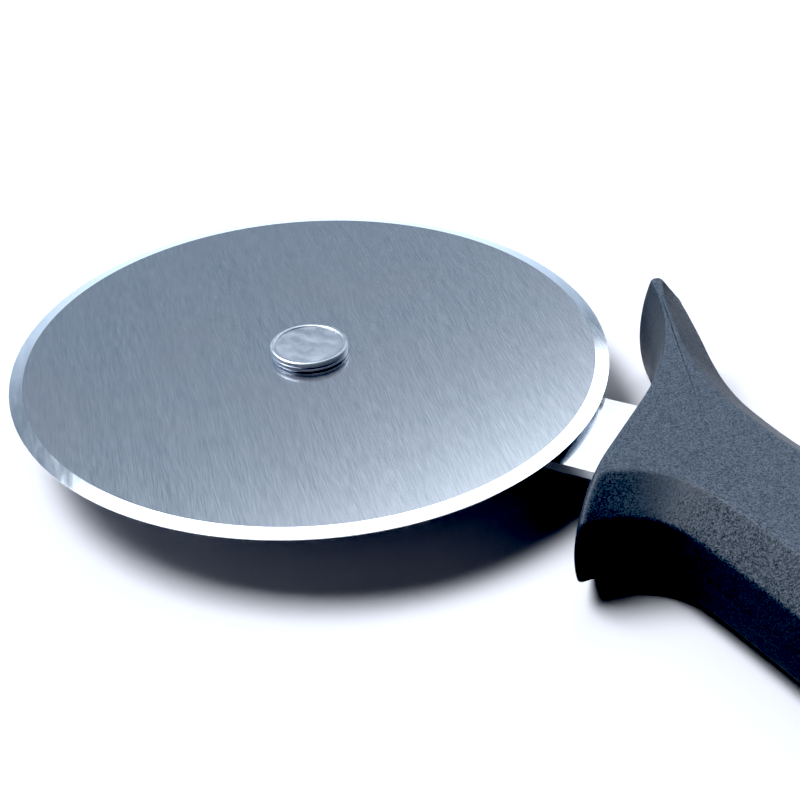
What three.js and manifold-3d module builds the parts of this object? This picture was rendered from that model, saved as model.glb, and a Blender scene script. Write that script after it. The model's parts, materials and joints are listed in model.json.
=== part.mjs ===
// Pastry cutter wheel, lying on its side with the wheel's axle upright.
// Millimetres, +Z up. Every piece is drawn about the wheel's centre: x runs from the axle along the
// shank to the handle, z = 0 is the plane of the sharp edge. The finished group is then shifted so
// that its origin is the middle of the bottom of its box.
import * as THREE from 'three';
import { mergeVertices } from 'three/addons/utils/BufferGeometryUtils.js';
import Module from 'manifold-3d';

const wasm = await Module();
wasm.setup();

// Driving dimensions
const SEAT_GAP = 0.05; // between pieces that touch or run on each other
const ROUND_SIDES = 64; // sides of the small round pieces

const BLADE_RADIUS = 50.8;
const BLADE_THICKNESS = 1.2;
const BLADE_SIDES = 144;
const BEVEL_WIDTH = 2.3; // ground on both faces of the rim
const EDGE_THICKNESS = 0.16;

const JOURNAL_RADIUS = 4; // the part of the rivet that the wheel turns on
const RUNNING_CLEARANCE = 0.08;
const HEAD_RADIUS = 6.65;
const HEAD_THICKNESS = 1.05;
const HEAD_RIM_WIDTH = 0.9;
const HEAD_RIM_SLOPE = 0.5; // from the raised rim down into the dish
const HEAD_DISH = 0.2;
const HEAD_EDGE_ROUND = 0.25;
const TAIL_RADIUS = 2.75; // stepped down where it passes the shank
const TAIL_HOLE_CLEARANCE = 0.1;
const TAIL_HEAD_RADIUS = 4.4;
const TAIL_HEAD_HEIGHT = 1.1;
const WASHER_THICKNESS = 0.7;
const HEAD_WASHER_RADIUS = 6.55;
const SPACER_RADIUS = 8;
const BACK_WASHER_RADIUS = 5.6;

const SHANK_WIDTH = 20;
const SHANK_THICKNESS = 1.5;
const TANG_WIDTH = 13; // inside the handle
const TANG_SHOULDER = 66; // where the shank narrows to the tang
const TANG_START = 22; // along the grip's axis
const TANG_END = 98;
const SHANK_CURVE = 6; // how far before the shoulder the sides start to turn
const TANG_HOLE_RADIUS = 3.2; // the moulding fills these and keys on them
const TANG_HOLES = [32, 60, 86];
const MOULD_GAP = 0.1; // round the shank and tang inside the moulding

const GRIP_START = [60, 0.4]; // a point on the grip's axis
const GRIP_ANGLE = -28.5; // degrees, from the shank's axis
const HANDLE_HALF_HEIGHT = 9.4; // to the flat faces
const SIDE_HALF_HEIGHT = 5.2; // to the top of the upright sides
const NOSE_RADIUS = 57.9; // mid-height, about the axle
const NOSE_BULGE = 1.8; // how far the nose stands out at mid-height
const NOSE_STRAIGHT = 15; // straight stretch beyond the shank's axis
const NOSE_TURN_RADIUS = 42; // then it turns away from the wheel

// Heights of the stack, from the wheel down to the rivet's tail
const BLADE_FACE = BLADE_THICKNESS / 2;
const WASHER_SEAT = BLADE_FACE + SEAT_GAP;
const STACK_FACE = WASHER_SEAT + WASHER_THICKNESS + SEAT_GAP; // head above it, shank below it
const SHANK_MIDDLE = -(STACK_FACE + SHANK_THICKNESS / 2);
const SHANK_BOTTOM = -(STACK_FACE + SHANK_THICKNESS);
const BACK_WASHER_BOTTOM = SHANK_BOTTOM - SEAT_GAP - WASHER_THICKNESS;

const group = new THREE.Group();
const materials = {
  blade: { color: 0x9aa3ad, roughness: 0.35, metalness: 1 },
  shank: { color: 0xc4c9cf, roughness: 0.25, metalness: 1 },
  rivet: { color: 0x8d949c, roughness: 0.4, metalness: 1 },
  handle: { color: 0x2b313b, roughness: 0.6, metalness: 0 },
};

function addPiece(name, geometry, material) {
  const mesh = new THREE.Mesh(geometry, new THREE.MeshStandardMaterial(materials[material]));
  mesh.name = name;
  group.add(mesh);
  return mesh;
}

// A LatheGeometry turns about +Y, so its result is stood up along +Z.
function turned(profile, sides) {
  const points = profile.map(([radius, height]) => new THREE.Vector2(radius, height));
  return new THREE.LatheGeometry(points, sides).rotateX(Math.PI / 2);
}

function ring(inner, outer, bottom, top) {
  return turned([[inner, bottom], [outer, bottom], [outer, top], [inner, top], [inner, bottom]], ROUND_SIDES);
}

function solid(geometry) {
  const bare = geometry.clone();
  bare.deleteAttribute('normal');
  bare.deleteAttribute('uv');
  const merged = mergeVertices(bare, 1e-4);
  const mesh = new wasm.Mesh({
    numProp: 3,
    vertProperties: Float32Array.from(merged.attributes.position.array),
    triVerts: Uint32Array.from(merged.index.array),
  });
  return new wasm.Manifold(mesh);
}

function toGeometry(body) {
  const mesh = body.getMesh();
  const geometry = new THREE.BufferGeometry();
  geometry.setAttribute('position', new THREE.BufferAttribute(mesh.vertProperties, 3));
  geometry.setIndex(new THREE.BufferAttribute(mesh.triVerts, 1));
  return geometry;
}

// Joins flat outlines with equally many points, one above the other, into one closed solid.
function stackOutlines(levels) {
  const count = levels[0].outline.length;
  const positions = levels.flatMap(({ outline, height }) => outline.flatMap((p) => [p.x, p.y, height]));
  const index = [];
  for (let level = 0; level < levels.length - 1; level += 1) {
    const below = level * count;
    const above = below + count;
    for (let i = 0; i < count; i += 1) {
      const next = (i + 1) % count;
      index.push(below + i, below + next, above + next);
      index.push(below + i, above + next, above + i);
    }
  }
  const top = (levels.length - 1) * count;
  for (const [a, b, c] of THREE.ShapeUtils.triangulateShape(levels[0].outline, [])) index.push(c, b, a);
  for (const [a, b, c] of THREE.ShapeUtils.triangulateShape(levels.at(-1).outline, [])) {
    index.push(top + a, top + b, top + c);
  }
  const geometry = new THREE.BufferGeometry();
  geometry.setAttribute('position', new THREE.Float32BufferAttribute(positions, 3));
  geometry.setIndex(index);
  return geometry;
}

// The wheel: a flat disc with a ground bevel on both faces.
function blade() {
  const bore = JOURNAL_RADIUS + RUNNING_CLEARANCE;
  const land = BLADE_RADIUS - BEVEL_WIDTH;
  const edge = EDGE_THICKNESS / 2;
  return turned([
    [bore, -BLADE_FACE], [land, -BLADE_FACE], [BLADE_RADIUS, -edge],
    [BLADE_RADIUS, edge], [land, BLADE_FACE], [bore, BLADE_FACE], [bore, -BLADE_FACE],
  ], BLADE_SIDES);
}

// The axle: a flat head with a raised rim, the journal, the step and the tail peened to a dome.
function rivet() {
  const headTop = STACK_FACE + HEAD_THICKNESS;
  const profile = [
    [0, headTop - HEAD_DISH],
    [HEAD_RADIUS - HEAD_RIM_WIDTH - HEAD_RIM_SLOPE, headTop - HEAD_DISH],
    [HEAD_RADIUS - HEAD_RIM_WIDTH, headTop],
    [HEAD_RADIUS - HEAD_EDGE_ROUND, headTop],
    [HEAD_RADIUS, headTop - HEAD_EDGE_ROUND],
    [HEAD_RADIUS, STACK_FACE + HEAD_EDGE_ROUND],
    [HEAD_RADIUS - HEAD_EDGE_ROUND, STACK_FACE],
    [JOURNAL_RADIUS, STACK_FACE],
    [JOURNAL_RADIUS, SEAT_GAP - STACK_FACE],
    [TAIL_RADIUS, SEAT_GAP - STACK_FACE],
    [TAIL_RADIUS, BACK_WASHER_BOTTOM - SEAT_GAP],
  ];
  const domeTop = BACK_WASHER_BOTTOM - SEAT_GAP;
  const domeSteps = 6;
  for (let i = 0; i <= domeSteps; i += 1) {
    const angle = (i / domeSteps) * Math.PI / 2;
    const radius = i === domeSteps ? 0 : TAIL_HEAD_RADIUS * Math.cos(angle);
    profile.push([radius, domeTop - TAIL_HEAD_HEIGHT * Math.sin(angle)]);
  }
  return turned(profile.reverse(), ROUND_SIDES);
}

// A point of the grip: distance along its axis, then sideways from it.
function gripPoint(along, across) {
  const angle = THREE.MathUtils.degToRad(GRIP_ANGLE);
  const x = GRIP_START[0] + along * Math.cos(angle) - across * Math.sin(angle);
  const y = GRIP_START[1] + along * Math.sin(angle) + across * Math.cos(angle);
  return [x, y];
}

// The shank's outline: round at the axle, straight to the guard, then bent and narrowed to the tang.
// grow makes the slightly larger outline of the space that it leaves in the moulding.
function shankShape(grow) {
  const half = SHANK_WIDTH / 2 + grow;
  const tangHalf = TANG_WIDTH / 2 + grow;
  const shape = new THREE.Shape();
  shape.moveTo(0, -half);
  shape.lineTo(TANG_SHOULDER - SHANK_CURVE, -half);
  shape.quadraticCurveTo(TANG_SHOULDER, -half, ...gripPoint(TANG_START - SHANK_CURVE, -tangHalf));
  shape.lineTo(...gripPoint(TANG_END - tangHalf, -tangHalf));
  const end = gripPoint(TANG_END - tangHalf, 0);
  const bend = THREE.MathUtils.degToRad(GRIP_ANGLE);
  shape.absarc(end[0], end[1], tangHalf, bend - Math.PI / 2, bend + Math.PI / 2, false);
  shape.lineTo(...gripPoint(TANG_START, tangHalf));
  shape.quadraticCurveTo(TANG_SHOULDER + SHANK_CURVE, half, TANG_SHOULDER - SHANK_CURVE, half);
  shape.lineTo(0, half);
  shape.absarc(0, 0, half, Math.PI / 2, Math.PI * 1.5, false);
  for (const along of TANG_HOLES) {
    const hole = new THREE.Path();
    hole.absarc(...gripPoint(along, 0), TANG_HOLE_RADIUS - grow, 0, Math.PI * 2, true);
    shape.holes.push(hole);
  }
  return shape;
}

function shankPlate(shape, thickness) {
  const geometry = new THREE.ExtrudeGeometry(shape, { depth: thickness, bevelEnabled: false, curveSegments: 24 });
  return geometry.translate(0, 0, SHANK_MIDDLE - thickness / 2);
}

function shank() {
  const shape = shankShape(0);
  const hole = new THREE.Path();
  hole.absarc(0, 0, TAIL_RADIUS + TAIL_HOLE_CLEARANCE, 0, Math.PI * 2, true);
  shape.holes.push(hole);
  return shankPlate(shape, SHANK_THICKNESS);
}

// Half the handle's width along the grip: [along, upright side, flat face].
const GRIP_WIDTHS = [
  [34, 14.6, 8.5], [56, 15.2, 9], [84, 14, 8], [106, 14.8, 8.8], [117, 14.6, 8.4], [124, 12, 7], [127.4, 7, 4.2],
];
const BUTT = [128.4, 122.6]; // where the side and the flat face end, on the grip's axis
const BUTT_TURN = 110; // beyond this the flat face's outline is drawn in along the grip as well
const BUTT_DRAW_IN = 1 / 3;

// The back of the guard and neck, from inside the nose round the horn's tip to the grip:
// [upright side x, y, flat face x, y].
const GUARD_BACK = [
  [45.6, 31, 45.4, 30.4], [46.9, 34.8, 46.8, 34.4], [49, 37.8, 48.5, 36.7], [52.1, 38.5, 49.9, 36.4],
  [54.4, 35.9, 50.8, 34], [57.2, 32, 53.3, 28.8], [60, 27.9, 56.2, 24], [64.8, 20.6, 60.4, 17.2],
  [68.4, 15.8, 64.3, 12.4], [72.1, 11.9, 68.4, 8.2], [75.9, 8.9, 72.4, 4.6], [83.7, 3.8, 80.8, -1.2],
];

// The front of the neck and guard, from the grip to beyond the nose.
const GUARD_FRONT = [
  [77.4, -25.6, 79.6, -19.9], [74.2, -24.1, 75.8, -18.2], [70.8, -23.5, 70.9, -17], [67.8, -24.2, 66.6, -17.4],
  [65, -25.6, 63.4, -18.8], [63.1, -27.2, 61, -20.3], [61.6, -29.1, 59, -21.8], [60, -31.6, 57.5, -23.5],
];

// The handle's outline at its upright sides (side 0) or at its flat faces (side 1).
function handleOutline(face, stepsPerSpan) {
  const drawnIn = (along) => along - face * BUTT_DRAW_IN * Math.max(along - BUTT_TURN, 0);
  const grip = GRIP_WIDTHS.map((row) => [drawnIn(row[0]), row[1 + face]]);
  const stations = [
    ...GUARD_BACK.map((row) => row.slice(2 * face, 2 * face + 2)),
    ...grip.map(([along, half]) => gripPoint(along, half)),
    gripPoint(BUTT[face], 0),
    ...grip.toReversed().map(([along, half]) => gripPoint(along, -half)),
    ...GUARD_FRONT.map((row) => row.slice(2 * face, 2 * face + 2)),
  ];
  const curve = new THREE.CatmullRomCurve3(stations.map(([x, y]) => new THREE.Vector3(x, y, 0)));
  const points = curve.getPoints((stations.length - 1) * stepsPerSpan);
  return points.map((p) => new THREE.Vector2(p.x, p.y)).reverse();
}

// The space in front of the nose: hollow towards the wheel in plan, with the nose swelling into it.
function noseCutter() {
  const levels = [];
  const layers = 12;
  const reach = HANDLE_HALF_HEIGHT + 1;
  const turnCentre = NOSE_RADIUS + NOSE_TURN_RADIUS;
  const turnStart = -Math.PI * 0.8; // well in front of the guard's front tip
  const arcEnd = Math.PI * 0.34; // well beyond the horn
  const inner = 20; // between the axle and the nose
  const [front, back] = [-45, 55]; // beyond the guard's two ends
  for (let i = 0; i <= layers; i += 1) {
    const height = reach * (2 * i / layers - 1);
    const setBack = NOSE_BULGE * (height / HANDLE_HALF_HEIGHT) ** 2;
    const path = new THREE.Path();
    path.moveTo(inner, front);
    path.lineTo(turnCentre, front);
    path.absarc(turnCentre, -NOSE_STRAIGHT, NOSE_TURN_RADIUS - setBack, turnStart, -Math.PI, true);
    path.absarc(0, 0, NOSE_RADIUS + setBack, 0, arcEnd, false);
    path.lineTo(inner, back);
    levels.push({ outline: path.getPoints(20), height });
  }
  return stackOutlines(levels);
}

function handle() {
  const stepsPerSpan = 3;
  const side = handleOutline(0, stepsPerSpan);
  const flat = handleOutline(1, stepsPerSpan);
  const moulding = stackOutlines([
    { outline: flat, height: -HANDLE_HALF_HEIGHT },
    { outline: side, height: -SIDE_HALF_HEIGHT },
    { outline: side, height: SIDE_HALF_HEIGHT },
    { outline: flat, height: HANDLE_HALF_HEIGHT },
  ]);
  const body = solid(moulding).subtract(solid(noseCutter())).translate([0, 0, SHANK_MIDDLE]);
  const pocket = solid(shankPlate(shankShape(MOULD_GAP), SHANK_THICKNESS + 2 * MOULD_GAP));
  return toGeometry(body.subtract(pocket));
}

const washerBore = JOURNAL_RADIUS + RUNNING_CLEARANCE;
addPiece('cutting_wheel', blade(), 'blade');
addPiece('axle_rivet', rivet(), 'rivet');
addPiece('head_washer', ring(washerBore, HEAD_WASHER_RADIUS, WASHER_SEAT, WASHER_SEAT + WASHER_THICKNESS), 'rivet');
addPiece('spacer_washer', ring(washerBore, SPACER_RADIUS, -WASHER_SEAT - WASHER_THICKNESS, -WASHER_SEAT), 'rivet');
addPiece('back_washer', ring(
  TAIL_RADIUS + TAIL_HOLE_CLEARANCE, BACK_WASHER_RADIUS, BACK_WASHER_BOTTOM, BACK_WASHER_BOTTOM + WASHER_THICKNESS,
), 'rivet');
addPiece('shank_and_tang', shank(), 'shank');
addPiece('handle', handle(), 'handle');

const box = new THREE.Box3().setFromObject(group);
const middle = box.getCenter(new THREE.Vector3());
group.position.set(-middle.x, -middle.y, -box.min.z);

export default group;
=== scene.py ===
"""Looks for the pastry cutter wheel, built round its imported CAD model.

Shapes are drawn in millimetres about the hub, as the CAD is: x runs from the axle along the shank,
z = 0 is the middle of the blade. They are put into the shared frame, in metres, by one function.
"""
import json
import math

import bpy
import numpy as np
from mathutils import Matrix, Vector


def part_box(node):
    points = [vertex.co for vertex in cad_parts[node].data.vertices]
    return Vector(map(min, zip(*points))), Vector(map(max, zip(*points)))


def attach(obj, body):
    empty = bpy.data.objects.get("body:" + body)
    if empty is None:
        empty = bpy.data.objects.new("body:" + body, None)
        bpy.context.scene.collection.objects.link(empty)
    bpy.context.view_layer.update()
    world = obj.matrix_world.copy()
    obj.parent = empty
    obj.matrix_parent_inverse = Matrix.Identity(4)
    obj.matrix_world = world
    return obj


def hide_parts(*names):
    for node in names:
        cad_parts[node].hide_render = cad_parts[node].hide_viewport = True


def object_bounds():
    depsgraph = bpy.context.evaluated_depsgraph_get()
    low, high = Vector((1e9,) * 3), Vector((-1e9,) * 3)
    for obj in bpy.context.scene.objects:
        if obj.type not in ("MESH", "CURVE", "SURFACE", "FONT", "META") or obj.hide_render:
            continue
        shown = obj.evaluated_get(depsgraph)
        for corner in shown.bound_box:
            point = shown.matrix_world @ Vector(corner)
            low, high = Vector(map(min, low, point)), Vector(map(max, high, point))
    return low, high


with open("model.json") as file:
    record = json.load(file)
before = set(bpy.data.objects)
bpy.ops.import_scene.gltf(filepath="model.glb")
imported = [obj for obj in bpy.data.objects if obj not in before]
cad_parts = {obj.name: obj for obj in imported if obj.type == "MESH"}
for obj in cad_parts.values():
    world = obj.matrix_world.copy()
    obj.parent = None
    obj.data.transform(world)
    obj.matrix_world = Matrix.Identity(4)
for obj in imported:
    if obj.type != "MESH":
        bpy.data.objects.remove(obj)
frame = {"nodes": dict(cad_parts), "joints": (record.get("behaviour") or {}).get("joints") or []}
CAD_LOW, CAD_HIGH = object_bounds()
HUB = Vector(frame["joints"][0]["pos_m"])
MM = 0.001

# The wheel and its stack, as in the CAD
BLADE_RADIUS = 50.8
BLADE_FACE = 0.6
BEVEL_WIDTH = 2.3
EDGE_HALF = 0.08
BORE = 4.08
JOURNAL_RADIUS = 4.0
HEAD_RADIUS = 6.65
HEAD_RIM_WIDTH = 0.9
HEAD_DISH = 0.2
TAIL_RADIUS = 2.75
TAIL_HOLE = 2.85
TAIL_HEAD_RADIUS = 4.4
HEAD_WASHER_RADIUS = 6.55
SPACER_RADIUS = 8.0
BACK_WASHER_RADIUS = 5.6

# The handle's drawing, as in the CAD
GRIP_START = (60.0, 0.4)
GRIP_ANGLE = math.radians(-28.5)
HALF_HEIGHT = 9.4
SIDE_HEIGHT = 5.2
NOSE_RADIUS = 57.9
NOSE_BULGE = 1.8
NOSE_STRAIGHT = 15.0
NOSE_TURN_RADIUS = 42.0
NOSE_TURN_FROM = -0.8 * math.pi  # where the turn begins, about its own centre
NOSE_ARC_TO = 0.34 * math.pi  # how far the nose goes about the hub
# Along the grip's axis: (distance, half width at the upright sides, half width at the flat faces)
GRIP_WIDTHS = [
    (34, 14.6, 8.5), (56, 15.2, 9), (84, 14, 8), (106, 14.8, 8.8),
    (117, 14.6, 8.4), (124, 12, 7), (127.4, 7, 4.2),
]
BUTT = (128.4, 122.6)  # the end of the grip, at the sides and at the flat faces
BUTT_TURN = 110  # beyond this the flat faces draw in from the butt
BUTT_DRAW_IN = 3  # by one part in this many
# The guard, behind the horn and then in front of the tip: x, y at the sides and x, y at the flat faces
GUARD_BACK = [
    (45.6, 31, 45.4, 30.4), (46.9, 34.8, 46.8, 34.4), (49, 37.8, 48.5, 36.7), (52.1, 38.5, 49.9, 36.4),
    (54.4, 35.9, 50.8, 34), (57.2, 32, 53.3, 28.8), (60, 27.9, 56.2, 24), (64.8, 20.6, 60.4, 17.2),
    (68.4, 15.8, 64.3, 12.4), (72.1, 11.9, 68.4, 8.2), (75.9, 8.9, 72.4, 4.6), (83.7, 3.8, 80.8, -1.2),
]
GUARD_FRONT = [
    (77.4, -25.6, 79.6, -19.9), (74.2, -24.1, 75.8, -18.2), (70.8, -23.5, 70.9, -17),
    (67.8, -24.2, 66.6, -17.4), (65, -25.6, 63.4, -18.8), (63.1, -27.2, 61, -20.3),
    (61.6, -29.1, 59, -21.8), (60, -31.6, 57.5, -23.5),
]

# Levels of the handle above its middle: (height, share of the way from the side to the flat outline)
PARTING_LINE = (0, 0.018)
SIDE_LEVELS = (0.13, 0.24, 0.9, 1.8, 2.7, 3.6)
SIDE_CROWN = 0.035
# Bends from one straight run to the next: start, the point it turns towards, end
CREASE = [(4.75, 0.03), (SIDE_HEIGHT, 0.036), (5.5, 0.105)]
FLAT_EDGE = [(9.06, 0.92), (HALF_HEIGHT, 1.0), (HALF_HEIGHT, 1.09)]
NOSE_EDGE_SETBACK = 0.5
POINT_CUT = 1.6  # how far from each of the handle's two points its rounding starts

# Fine details that the CAD leaves out
STACK_GAP = 0.05  # between pieces that touch
BORE_CHAMFER = 0.15
HEAD_EDGE = 0.3
DISH_RISE = 0.06  # in the middle of the head, half of it inside this radius
DISH_RISE_RADIUS = 3.5
WASHER_EDGE = 0.18
BLADE_SEGMENTS = 384
ROUND_SEGMENTS = 128


# ---------------------------------------------------------------- meshes

def piece_from(name, points, faces, body, node, slot):
    """A smooth-shaded piece from points in hub millimetres, riding on a body in place of a CAD node."""
    mesh = bpy.data.meshes.new(name)
    mesh.from_pydata([HUB + Vector(p) * MM for p in points], [], faces)
    for polygon in mesh.polygons:
        polygon.use_smooth = len(polygon.vertices) <= 4
    piece = bpy.data.objects.new(name, mesh)
    bpy.context.scene.collection.objects.link(piece)
    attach(piece, body)
    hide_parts(node)
    return piece


def bend(start, tip, end, t):
    """A point on the curve that leaves start and reaches end, both times towards the tip."""
    return (1 - t) ** 2 * start + 2 * t * (1 - t) * tip + t ** 2 * end


def softened(outline, cut):
    """The closed outline of (radius, height) points with each corner rounded."""
    steps = 4
    most = 0.45  # of either side of a corner
    result = []
    count = len(outline)
    for i in range(count):
        before, here, after = (np.array(outline[(i + k) % count], float) for k in (-1, 0, 1))
        start = here + (before - here) * min(most, cut / np.linalg.norm(before - here))
        end = here + (after - here) * min(most, cut / np.linalg.norm(after - here))
        result += [bend(start, here, end, k / steps) for k in range(steps + 1)]
    return result


def turned_ring(profile, segments):
    """Points and faces of a closed profile of (radius, height) turned about the hub's axis."""
    count = len(profile)
    points = []
    faces = []
    for i in range(segments):
        angle = 2 * math.pi * i / segments
        points += [(r * math.cos(angle), r * math.sin(angle), z) for r, z in profile]
        following = (i + 1) % segments
        for k in range(count):
            up = (k + 1) % count
            faces.append((i * count + k, following * count + k, following * count + up, i * count + up))
    return points, faces


def turned_solid(profile, segments):
    """Points and faces of a profile that starts and ends on the axis, lowest point first."""
    inner = profile[1:-1]
    count = len(inner)
    points = []
    faces = []
    for i in range(segments):
        angle = 2 * math.pi * i / segments
        points += [(r * math.cos(angle), r * math.sin(angle), z) for r, z in inner]
    low = len(points)
    points += [(0, 0, profile[0][1]), (0, 0, profile[-1][1])]
    for i in range(segments):
        a = i * count
        b = (i + 1) % segments * count
        faces += [(a + k, b + k, b + k + 1, a + k + 1) for k in range(count - 1)]
        faces.append((low, b, a))
        faces.append((low + 1, a + count - 1, b + count - 1))
    return points, faces


def quarter_turn(count):
    """Evenly spaced angles from 0 to 90 degrees."""
    return np.linspace(0, math.pi / 2, count)


def sharpen(piece, degrees):
    """Keeps edges steeper than this crisp."""
    piece.data.set_sharp_from_angle(angle=math.radians(degrees))


# ---------------------------------------------------------------- the handle's levels

def curve_through(stations):
    """Centripetal Catmull-Rom curve through the stations."""
    steps = 8
    p = np.array(stations, float)
    p = np.vstack([2 * p[0] - p[1], p, 2 * p[-1] - p[-2]])
    gap = np.linalg.norm(np.diff(p, axis=0), axis=1) ** 0.5
    points = []
    for i in range(1, len(p) - 2):
        before, span, after = gap[i - 1], gap[i], gap[i + 1]
        out = (p[i] - p[i - 1]) / before - (p[i + 1] - p[i - 1]) / (before + span) + (p[i + 1] - p[i]) / span
        arrive = (p[i + 1] - p[i]) / span - (p[i + 2] - p[i]) / (span + after) + (p[i + 2] - p[i + 1]) / after
        for t in np.arange(steps) / steps:
            a, b = 2 * t ** 3 - 3 * t ** 2 + 1, t ** 3 - 2 * t ** 2 + t
            c, d = 3 * t ** 2 - 2 * t ** 3, t ** 3 - t ** 2
            points.append(a * p[i] + b * span * out + c * p[i + 1] + d * span * arrive)
    points.append(p[-2])
    return np.array(points)


def grip_point(along, across):
    """A point given from the start of the grip, along its axis and across it."""
    x = GRIP_START[0] + along * math.cos(GRIP_ANGLE) - across * math.sin(GRIP_ANGLE)
    y = GRIP_START[1] + along * math.sin(GRIP_ANGLE) + across * math.cos(GRIP_ANGLE)
    return x, y


def handle_outline(face):
    """The outline at the upright sides (face 0) or the flat faces (face 1), open towards the wheel."""
    grip = [
        (row[0] - face * max(row[0] - BUTT_TURN, 0) / BUTT_DRAW_IN, row[1 + face])
        for row in GRIP_WIDTHS
    ]
    stations = [row[2 * face:2 * face + 2] for row in GUARD_BACK]
    stations += [grip_point(along, half) for along, half in grip]
    stations += [grip_point(BUTT[face], 0)]
    stations += [grip_point(along, -half) for along, half in reversed(grip)]
    stations += [row[2 * face:2 * face + 2] for row in GUARD_FRONT]
    return curve_through(stations)


def nose_path(back):
    """The nose in plan, from the front tip to the horn, set back by this much."""
    turn_points = 25
    arc_points = 60
    turn = np.linspace(NOSE_TURN_FROM, -math.pi, turn_points)
    arc = np.linspace(0, NOSE_ARC_TO, arc_points)
    centre = NOSE_RADIUS + NOSE_TURN_RADIUS
    radius = NOSE_TURN_RADIUS - back
    first = np.stack([centre + radius * np.cos(turn), -NOSE_STRAIGHT + radius * np.sin(turn)], 1)
    second = np.stack([(NOSE_RADIUS + back) * np.cos(arc), (NOSE_RADIUS + back) * np.sin(arc)], 1)
    return np.vstack([first, second])


def crossings(a, b):
    """Where two open polylines cross: (place along a, place along b) in segments."""
    p, r = a[:-1, None], np.diff(a, axis=0)[:, None]
    q, s = b[None, :-1], np.diff(b, axis=0)[None]
    cross = r[..., 0] * s[..., 1] - r[..., 1] * s[..., 0]
    tiny = 1e-12  # stands for 0 where two segments are parallel
    cross = np.where(abs(cross) < tiny, tiny, cross)
    w = q - p
    t = (w[..., 0] * s[..., 1] - w[..., 1] * s[..., 0]) / cross
    u = (w[..., 0] * r[..., 1] - w[..., 1] * r[..., 0]) / cross
    hit = np.argwhere((t >= 0) & (t < 1) & (u >= 0) & (u < 1))
    return sorted((i + t[i, j], j + u[i, j]) for i, j in hit)


def between(points, start, end, count):
    """Evenly spaced places from start to end along a polyline, counted in its segments."""
    places = np.linspace(start, end, count)
    index = np.arange(len(points))
    return np.stack([np.interp(places, index, points[:, k]) for k in (0, 1)], 1)


def run_along(points):
    """The distance along a polyline to each of its points."""
    return np.concatenate([[0], np.cumsum(np.linalg.norm(np.diff(points, axis=0), axis=1))])


def corner(start, tip, end, steps):
    """Points that round a corner, without its two ends."""
    t = (np.arange(1, steps) / steps)[:, None]
    return bend(start, tip, end, t)


def handle_level(side, flat, inward, back):
    """One closed ring of the handle, between its side and flat outlines, with its two points rounded."""
    fine = 2001
    grip_points = 301
    nose_fine = 401
    nose_points = 61
    tip_steps = 6
    horn_steps = 8
    outline = side + (flat - side) * inward
    nose = nose_path(back)
    hits = crossings(outline, nose)
    first, last = hits[0], hits[-1]
    whole = between(outline, first[0], last[0], fine)
    run = run_along(whole)
    start = np.searchsorted(run, POINT_CUT)
    end = np.searchsorted(run, run[-1] - POINT_CUT)
    around = between(whole, start, end, grip_points)
    front = between(nose, last[1], first[1], nose_fine)
    run = run_along(front)
    places = np.linspace(POINT_CUT, run[-1] - POINT_CUT, nose_points)
    front = np.stack([np.interp(places, run, front[:, k]) for k in (0, 1)], 1)
    return np.vstack([
        around, corner(around[-1], whole[-1], front[0], tip_steps),
        front, corner(front[-1], whole[0], around[0], horn_steps),
    ])


def handle_rows():
    """(height, share of the way to the flat outline, extra set-back of the nose), middle upwards."""
    crease_rows = 6
    chamfer_rows = 6
    edge_rows = 8
    rows = [(*PARTING_LINE, 0)]
    rows += [(z, SIDE_CROWN * (z / SIDE_HEIGHT) ** 2, 0) for z in SIDE_LEVELS]
    for t in np.linspace(0, 1, crease_rows):
        z, inward = (bend(*values, t) for values in zip(*CREASE))
        rows.append((z, inward, 0))
    for t in np.linspace(0, 1, chamfer_rows)[1:-1]:
        z, inward = (low + (high - low) * t for low, high in zip(CREASE[-1], FLAT_EDGE[0]))
        rows.append((z, inward, 0))
    for t in np.linspace(0, 1, edge_rows):
        z, inward = (bend(*values, t) for values in zip(*FLAT_EDGE))
        rows.append((z, inward, NOSE_EDGE_SETBACK * t * t))
    return rows


def make_handle():
    """Points and faces of the handle: one ring for each level, closed by two flat faces."""
    side = handle_outline(0)
    flat = handle_outline(1)
    low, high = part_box("handle")
    middle = ((low + high).z / 2 - HUB.z) / MM
    rows = handle_rows()
    rows = [(-z, inward, back) for z, inward, back in reversed(rows[1:])] + rows
    points = []
    for z, inward, back in rows:
        bulge = NOSE_BULGE * (z / HALF_HEIGHT) ** 2
        ring = handle_level(side, flat, inward, bulge + back)
        points += [(x, y, middle + z) for x, y in ring]
    count = len(points) // len(rows)
    top = (len(rows) - 1) * count
    faces = []
    for below in range(0, top, count):
        above = below + count
        for i in range(count):
            j = (i + 1) % count
            faces.append((below + i, below + j, above + j, above + i))
    faces.append(tuple(range(count))[::-1])
    faces.append(tuple(top + i for i in range(count)))
    return points, [face[::-1] for face in faces]


# ---------------------------------------------------------------- node helper

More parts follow.
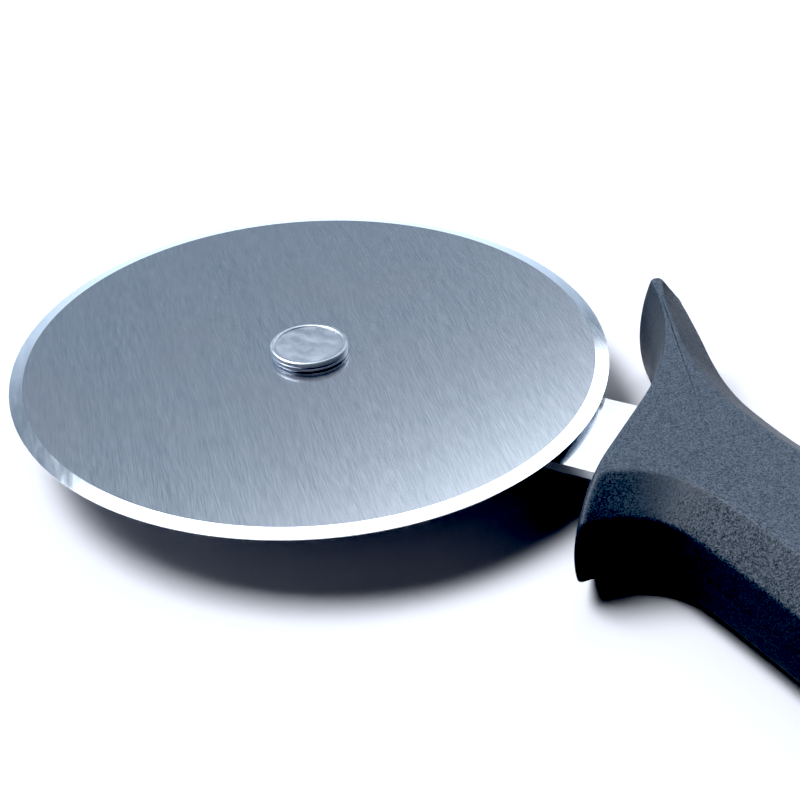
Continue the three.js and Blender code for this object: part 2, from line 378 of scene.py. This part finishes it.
class Nodes:
    """Short calls for building one node tree."""

    def __init__(self, tree):
        self.tree = tree
        tree.nodes.clear()

    def add(self, kind, settings=None, **inputs):
        node = self.tree.nodes.new(kind)
        for key, value in (settings or {}).items():
            setattr(node, key, value)
        for key, value in inputs.items():
            self.feed(node.inputs[key], value)
        return node

    def feed(self, socket, value):
        if isinstance(value, bpy.types.NodeSocket):
            self.tree.links.new(value, socket)
        else:
            socket.default_value = value

    def math(self, operation, *values):
        node = self.tree.nodes.new("ShaderNodeMath")
        node.operation = operation
        for socket, value in zip(node.inputs, values):
            self.feed(socket, value)
        return node.outputs[0]

    def vector(self, operation, *values):
        node = self.tree.nodes.new("ShaderNodeVectorMath")
        node.operation = operation
        for socket, value in zip(node.inputs, values):
            self.feed(socket, value)
        return node.outputs["Value" if operation == "DOT_PRODUCT" else "Vector"]

    def ramp(self, value, low, high, to_low, to_high, smooth=False):
        node = self.tree.nodes.new("ShaderNodeMapRange")
        if smooth:
            node.interpolation_type = "SMOOTHSTEP"
        for key, item in (("Value", value), ("From Min", low), ("From Max", high),
                          ("To Min", to_low), ("To Max", to_high)):
            self.feed(node.inputs[key], item)
        return node.outputs["Result"]

    def spread(self, noise, to_low, to_high):
        """Maps the range that a noise mostly keeps to."""
        return self.ramp(noise, 0.3, 0.7, to_low, to_high)

    def noise(self, vector, scale, detail, roughness):
        """The scale is in features a metre, unless the coordinates are already scaled."""
        node = self.add("ShaderNodeTexNoise", Vector=vector, Scale=scale, Detail=detail, Roughness=roughness)
        return node.outputs["Fac"]

    def mix(self, factor, a, b):
        node = self.tree.nodes.new("ShaderNodeMix")
        node.data_type = "RGBA"
        self.feed(node.inputs["Factor"], factor)
        self.feed(node.inputs[6], a)
        self.feed(node.inputs[7], b)
        return node.outputs[2]

    def bump(self, height, distance, strength):
        return self.add("ShaderNodeBump", Height=height, Distance=distance, Strength=strength).outputs[0]


def material(name):
    made = bpy.data.materials.new(name)
    made.use_nodes = True
    nodes = Nodes(made.node_tree)
    shader = nodes.add("ShaderNodeBsdfPrincipled")
    output = nodes.add("ShaderNodeOutputMaterial")
    nodes.tree.links.new(shader.outputs[0], output.inputs[0])
    place = nodes.add("ShaderNodeTexCoord").outputs["Object"]
    return made, nodes, shader, place


def metal(name):
    made, nodes, shader, place = material(name)
    shader.inputs["Metallic"].default_value = 1.0
    return made, nodes, shader, place


def brushed(nodes, place, angle, across, along):
    """Coordinates for brushing at an angle, in degrees from the shank's axis: lines a metre, both ways."""
    settings = {"rotation_type": "Z_AXIS"}
    turned = nodes.add("ShaderNodeVectorRotate", settings, Vector=place, Angle=-math.radians(angle))
    return nodes.vector("MULTIPLY", turned.outputs[0], (along, across, along))


# ---------------------------------------------------------------- materials

BRUSH_ANGLE = -50
SHANK_BRUSH_ANGLE = 4


def blade_satin():
    """Steel brushed in one direction, with faint broad clouds."""
    made, nodes, shader, place = metal("blade_satin")
    fine = nodes.noise(brushed(nodes, place, BRUSH_ANGLE, 4600, 260), 1, 3, 0.6)
    broad = nodes.noise(brushed(nodes, place, BRUSH_ANGLE + 3, 700, 30), 1, 3, 0.6)
    cloud = nodes.noise(place, 45, 3, 0.5)
    tone = nodes.math("ADD", nodes.math("MULTIPLY", fine, 0.8), nodes.math("MULTIPLY", broad, 0.2))
    steel = nodes.mix(nodes.spread(tone, 0, 1), (0.50, 0.54, 0.58, 1), (0.60, 0.635, 0.67, 1))
    tint = nodes.ramp(cloud, 0.35, 0.65, 0, 0.5)
    nodes.feed(shader.inputs["Base Color"], nodes.mix(tint, steel, (0.59, 0.58, 0.63, 1)))
    nodes.feed(shader.inputs["Roughness"], nodes.spread(tone, 0.17, 0.21))
    nodes.feed(shader.inputs["Normal"], nodes.bump(fine, 0.0000022, 0.5))
    return made


def blade_bevel():
    """The ground and polished bevel at the rim."""
    made, nodes, shader, place = metal("blade_bevel")
    streak = nodes.noise(brushed(nodes, place, BRUSH_ANGLE, 1200, 200), 1, 2, 0.5)
    nodes.feed(shader.inputs["Base Color"], nodes.mix(streak, (0.66, 0.69, 0.73, 1), (0.76, 0.79, 0.83, 1)))
    nodes.feed(shader.inputs["Roughness"], nodes.spread(streak, 0.11, 0.17))
    return made


def rivet_metal(name, tone):
    """Zinc-grey steel, faintly mottled, with a slightly battered surface."""
    made, nodes, shader, place = metal(name)
    mottle = nodes.noise(place, 420, 4, 0.6)
    dents = nodes.noise(place, 260, 1, 0.5)
    light = tuple(c * tone for c in (0.60, 0.64, 0.70)) + (1,)
    deep = tuple(c * tone for c in (0.46, 0.50, 0.57)) + (1,)
    nodes.feed(shader.inputs["Base Color"], nodes.mix(nodes.ramp(mottle, 0.35, 0.65, 0, 1), deep, light))
    nodes.feed(shader.inputs["Roughness"], nodes.spread(mottle, 0.34, 0.42))
    nodes.feed(shader.inputs["Normal"], nodes.bump(dents, 0.00008, 0.5))
    return made


def shank_metal():
    """Bright steel, finely ground along the shank."""
    made, nodes, shader, place = metal("shank_metal")
    lines = nodes.noise(brushed(nodes, place, SHANK_BRUSH_ANGLE, 4200, 90), 1, 3, 0.6)
    nodes.feed(shader.inputs["Base Color"], nodes.mix(lines, (0.74, 0.76, 0.79, 1), (0.84, 0.86, 0.89, 1)))
    nodes.feed(shader.inputs["Roughness"], nodes.spread(lines, 0.18, 0.24))
    nodes.feed(shader.inputs["Normal"], nodes.bump(lines, 0.00001, 0.6))
    return made


def handle_plastic():
    """Black moulded plastic: pebbled on the flats and chamfers, smoother on the sides, paler on the flats:
    painted shade darkens the chamfers and sides.
    """
    pebbles_per_metre = 5800
    most_lean = 0.25
    made, nodes, shader, place = material("handle_plastic")
    facing = nodes.add("ShaderNodeNewGeometry").outputs["Normal"]
    upward = nodes.math("ABSOLUTE", nodes.vector("DOT_PRODUCT", facing, (0, 0, 1)))
    grained = nodes.ramp(upward, 0.3, 0.6, 0.35, 1, True)
    pebbles = nodes.add("ShaderNodeTexVoronoi", {"feature": "F1"}, Vector=place, Scale=pebbles_per_metre)
    chance = pebbles.outputs["Color"]
    tilt = nodes.vector("SUBTRACT", chance, (0.5, 0.5, 0.5))
    lean = nodes.vector("MULTIPLY", tilt, nodes.math("MULTIPLY", grained, most_lean))
    speck = nodes.ramp(nodes.vector("DOT_PRODUCT", chance, (1, 0, 0)), 0.2, 1.0, 0, 1)
    flecks = nodes.math("MULTIPLY", speck, nodes.ramp(grained, 0, 1, 0.5, 1))
    grain = nodes.mix(flecks, (0.032, 0.037, 0.044, 1), (0.080, 0.092, 0.112, 1))
    # Painted shade: the base colour is full on the flats and drops to half on the chamfers and sides, by
    # which way each faces.
    painted_facing_shade = nodes.ramp(upward, 0.78, 0.97, 0.5, 1, True)
    nodes.feed(shader.inputs["Base Color"], nodes.mix(painted_facing_shade, (0, 0, 0, 1), grain))
    wear = nodes.noise(place, 60, 4, 0.6)
    shader.inputs["Specular IOR Level"].default_value = 0.07
    nodes.feed(shader.inputs["Roughness"], nodes.spread(wear, 0.36, 0.42))
    nodes.feed(shader.inputs["Normal"], nodes.vector("NORMALIZE", nodes.vector("ADD", facing, lean)))
    return made


# ---------------------------------------------------------------- pieces

def make_blade():
    """The blade, with one material on its faces and another on the bevel."""
    land = BLADE_RADIUS - BEVEL_WIDTH
    halfway = 20  # an extra ring of points on each face
    hole = BORE + BORE_CHAMFER
    ring = [
        (hole, -BLADE_FACE), (halfway, -BLADE_FACE), (land, -BLADE_FACE), (BLADE_RADIUS, -EDGE_HALF),
        (BLADE_RADIUS, EDGE_HALF), (land, BLADE_FACE), (halfway, BLADE_FACE), (hole, BLADE_FACE),
        (BORE, BLADE_FACE - BORE_CHAMFER), (BORE, BORE_CHAMFER - BLADE_FACE),
    ]
    points, faces = turned_ring(ring, BLADE_SEGMENTS)
    piece = piece_from("wheel_blade", points, faces, "wheel", "cutting_wheel", "blade_steel")
    sharpen(piece, 8)
    piece.data.materials.append(blade_satin())
    piece.data.materials.append(blade_bevel())
    for face in piece.data.polygons:
        if (face.center - HUB).xy.length / MM > land:
            face.material_index = 1


def make_rivet():
    """The rivet: peened tail, step, journal, and a head with a raised rim round a shallow dish."""
    low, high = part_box("axle_rivet")
    top = (high - HUB).z / MM
    bottom = (low - HUB).z / MM
    head_base = (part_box("head_washer")[1] - HUB).z / MM + STACK_GAP
    step = -head_base + STACK_GAP  # the stack is even about the blade
    dome_base = (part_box("back_washer")[0] - HUB).z / MM - STACK_GAP
    dish = top - HEAD_DISH
    ridge = HEAD_RIM_WIDTH / 2
    ridge_middle = HEAD_RADIUS - ridge
    edge_middle = HEAD_RADIUS - HEAD_EDGE
    profile = [(0, bottom)]
    profile += [
        (TAIL_HEAD_RADIUS * math.sin(a), dome_base - (dome_base - bottom) * math.cos(a))
        for a in quarter_turn(13)[1:]
    ]
    profile += [(TAIL_RADIUS, dome_base), (TAIL_RADIUS, step)]
    profile += [(JOURNAL_RADIUS, step), (JOURNAL_RADIUS, head_base), (edge_middle, head_base)]
    profile += [
        (edge_middle + HEAD_EDGE * math.sin(a), head_base + HEAD_EDGE - HEAD_EDGE * math.cos(a))
        for a in quarter_turn(6)[1:]
    ]
    profile += [
        (ridge_middle + ridge * math.cos(a), top - HEAD_EDGE + HEAD_EDGE * math.sin(a))
        for a in quarter_turn(9)
    ]
    profile += [
        (ridge_middle - ridge * math.sin(a), dish + (top - dish) * math.cos(a))
        for a in quarter_turn(9)[1:]
    ]
    profile += [(DISH_RISE_RADIUS, dish + DISH_RISE / 2), (0, dish + DISH_RISE)]
    points, faces = turned_solid(profile, ROUND_SEGMENTS)
    piece = piece_from("rivet", points, faces, "handle_unit", "axle_rivet", "rivet_steel")
    sharpen(piece, 50)
    piece.data.materials.append(rivet_metal("rivet_metal", 0.56))


def make_washer(name, node, body, bore, radius, tone):
    """A plain washer with softened edges. The tone darkens the metal."""
    low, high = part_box(node)
    bottom = (low - HUB).z / MM
    top = (high - HUB).z / MM
    ring = softened([(bore, bottom), (radius, bottom), (radius, top), (bore, top)], WASHER_EDGE)
    points, faces = turned_ring(ring, ROUND_SEGMENTS)
    piece = piece_from(name, points, faces, body, node, "rivet_steel")
    sharpen(piece, 40)
    piece.data.materials.append(rivet_metal(name + "_metal", tone))


make_blade()
make_rivet()
make_washer("washer_under_head", "head_washer", "loose_head_washer", BORE, HEAD_WASHER_RADIUS, 0.6)
make_washer("washer_under_blade", "spacer_washer", "loose_spacer", BORE, SPACER_RADIUS, 0.7)
make_washer("washer_at_back", "back_washer", "handle_unit", TAIL_HOLE, BACK_WASHER_RADIUS, 0.8)

handle = piece_from("handle_grip", *make_handle(), "handle_unit", "handle", "handle_plastic")
sharpen(handle, 60)
handle.data.materials.append(handle_plastic())

shank = frame["nodes"]["shank_and_tang"]
shank.data.materials.clear()
shank.data.materials.append(shank_metal())


# ---------------------------------------------------------------- floor

def make_floor():
    size = 4.0
    gap = 0.00003  # keeps the floor clear of the handle's flat face
    corners = [(-size, -size, 0), (size, -size, 0), (size, size, 0), (-size, size, 0)]
    mesh = bpy.data.meshes.new("floor")
    mesh.from_pydata(corners, [], [(0, 1, 2, 3)])
    floor = bpy.data.objects.new("floor", mesh)
    bpy.context.scene.collection.objects.link(floor)
    floor.location.z = CAD_LOW.z - gap
    made, _, shader, _ = material("floor_white")
    shader.inputs["Base Color"].default_value = (0.43, 0.42, 0.43, 1)
    shader.inputs["Roughness"].default_value = 0.6
    shader.inputs["Specular IOR Level"].default_value = 0.2
    mesh.materials.append(made)


make_floor()


# ---------------------------------------------------------------- light

def direction(azimuth, elevation):
    """A direction of the sky. The azimuth is in degrees from +x towards +y."""
    a, e = math.radians(azimuth), math.radians(elevation)
    return Vector((math.cos(a) * math.cos(e), math.sin(a) * math.cos(e), math.sin(e)))


def softbox(nodes, sky, centre, rise, half_width, half_height, edge):
    """1 inside a rectangle on the sky, 0 outside. Sizes are in degrees; edge is how soft the border is."""
    aside = centre.cross(rise).normalized()
    depth = nodes.vector("DOT_PRODUCT", sky, tuple(centre))
    safe = nodes.math("MAXIMUM", depth, 0.05)
    inside = nodes.ramp(depth, 0.1, 0.2, 0, 1)
    for axis, half in ((aside, half_width), (rise, half_height)):
        reach = math.tan(math.radians(half))
        place = nodes.math("DIVIDE", nodes.vector("DOT_PRODUCT", sky, tuple(axis)), safe)
        within = nodes.ramp(nodes.math("ABSOLUTE", place), reach - edge, reach + edge, 1, 0, True)
        inside = nodes.math("MULTIPLY", inside, within)
    return inside


def tipped_up(low_left, low_right, half_height):
    """Centre and rise of a softbox whose lower edge runs through two directions of the sky."""
    upward = low_right.cross(low_left).normalized()
    middle = (low_left + low_right).normalized()
    angle = math.radians(half_height)
    centre = middle * math.cos(angle) + upward * math.sin(angle)
    return centre, upward * math.cos(angle) - middle * math.sin(angle)


def upright(azimuth, elevation):
    """Centre and rise of a softbox whose lower edge is level."""
    return direction(azimuth, elevation), direction(azimuth, elevation + 90)


def studio_light():
    """Three softboxes, a white horizon behind and a paler wall in front, drawn on the sky."""
    world = bpy.data.worlds.new("studio")
    bpy.context.scene.world = world
    world.use_nodes = True
    nodes = Nodes(world.node_tree)
    sky = nodes.add("ShaderNodeTexCoord").outputs["Generated"]

    back_half_height = 14
    back_place = tipped_up(direction(151, 47), direction(95, 26.5), back_half_height)
    lights = []
    for (centre, rise), half_width, half_height, edge, brightness in (
        (back_place, 45, back_half_height, 0.07, 2.7),  # the broad one behind, mirrored by the blade
        (upright(188, 60), 15, 12, 0.08, 35.0),  # the key light
        (upright(-15, 34), 55, 20, 0.2, 0.35),  # a dim panel for views from the other side
    ):
        box = softbox(nodes, sky, centre, rise, half_width, half_height, edge)
        lights.append(nodes.math("MULTIPLY", box, brightness))
    back_box, key_box, side_box = lights
    boxes = nodes.math("ADD", nodes.math("ADD", back_box, key_box), side_box)

    height = nodes.add("ShaderNodeSeparateXYZ", Vector=sky).outputs["Z"]
    behind = nodes.vector("DOT_PRODUCT", sky, tuple(direction(118, 0)))
    behind = nodes.ramp(behind, -0.2, 0.4, 0, 1, True)
    leftward = nodes.vector("DOT_PRODUCT", sky, tuple(direction(208, 0)))
    leftward = nodes.ramp(leftward, 0.2, 0.6, 0, 0.14, True)
    horizon = nodes.ramp(nodes.math("SUBTRACT", height, leftward), 0.02, 0.38, 1, 0)
    back_wall = nodes.ramp(horizon, 0, 1, 0.43, 1.9)
    front_wall = nodes.ramp(height, 0.02, 0.48, 0.95, 0.05)
    difference = nodes.math("SUBTRACT", back_wall, front_wall)
    wall = nodes.math("ADD", front_wall, nodes.math("MULTIPLY", behind, difference))
    strength = nodes.math("ADD", wall, boxes)
    room = nodes.mix(behind, (0.90, 0.92, 0.98, 1), (0.72, 0.86, 1.04, 1))
    colour = nodes.mix(nodes.math("MINIMUM", boxes, 1.0), room, (0.92, 0.98, 1.06, 1))
    background = nodes.add("ShaderNodeBackground", Color=colour, Strength=strength)
    output = nodes.add("ShaderNodeOutputWorld")
    nodes.tree.links.new(background.outputs[0], output.inputs[0])


studio_light()


# ---------------------------------------------------------------- camera

CAMERA_PLACE = (130.0, -209.4, 152.8)  # millimetres from the hub
CAMERA_RIGHT = (0.8905, 0.4537, -0.0351)
CAMERA_UP = (-0.2245, 0.5051, 0.8333)
CAMERA_LENS = 76.2
BLACK_LEVEL = 0.058  # linear light below this is shown as black


def make_camera():
    data = bpy.data.cameras.new("camera")
    data.lens = CAMERA_LENS
    data.clip_start = 0.01
    data.clip_end = 50
    camera = bpy.data.objects.new("camera", data)
    bpy.context.scene.collection.objects.link(camera)
    right = Vector(CAMERA_RIGHT)
    up = Vector(CAMERA_UP)
    back = right.cross(up)
    turn = Matrix((right, up, back)).transposed().to_4x4()
    camera.matrix_world = Matrix.Translation(HUB + Vector(CAMERA_PLACE) * MM) @ turn
    bpy.context.scene.camera = camera


make_camera()
view = bpy.context.scene.view_settings
view.view_transform = "Standard"
view.use_curve_mapping = True
view.curve_mapping.black_level = (BLACK_LEVEL, BLACK_LEVEL, BLACK_LEVEL)
view.curve_mapping.update()
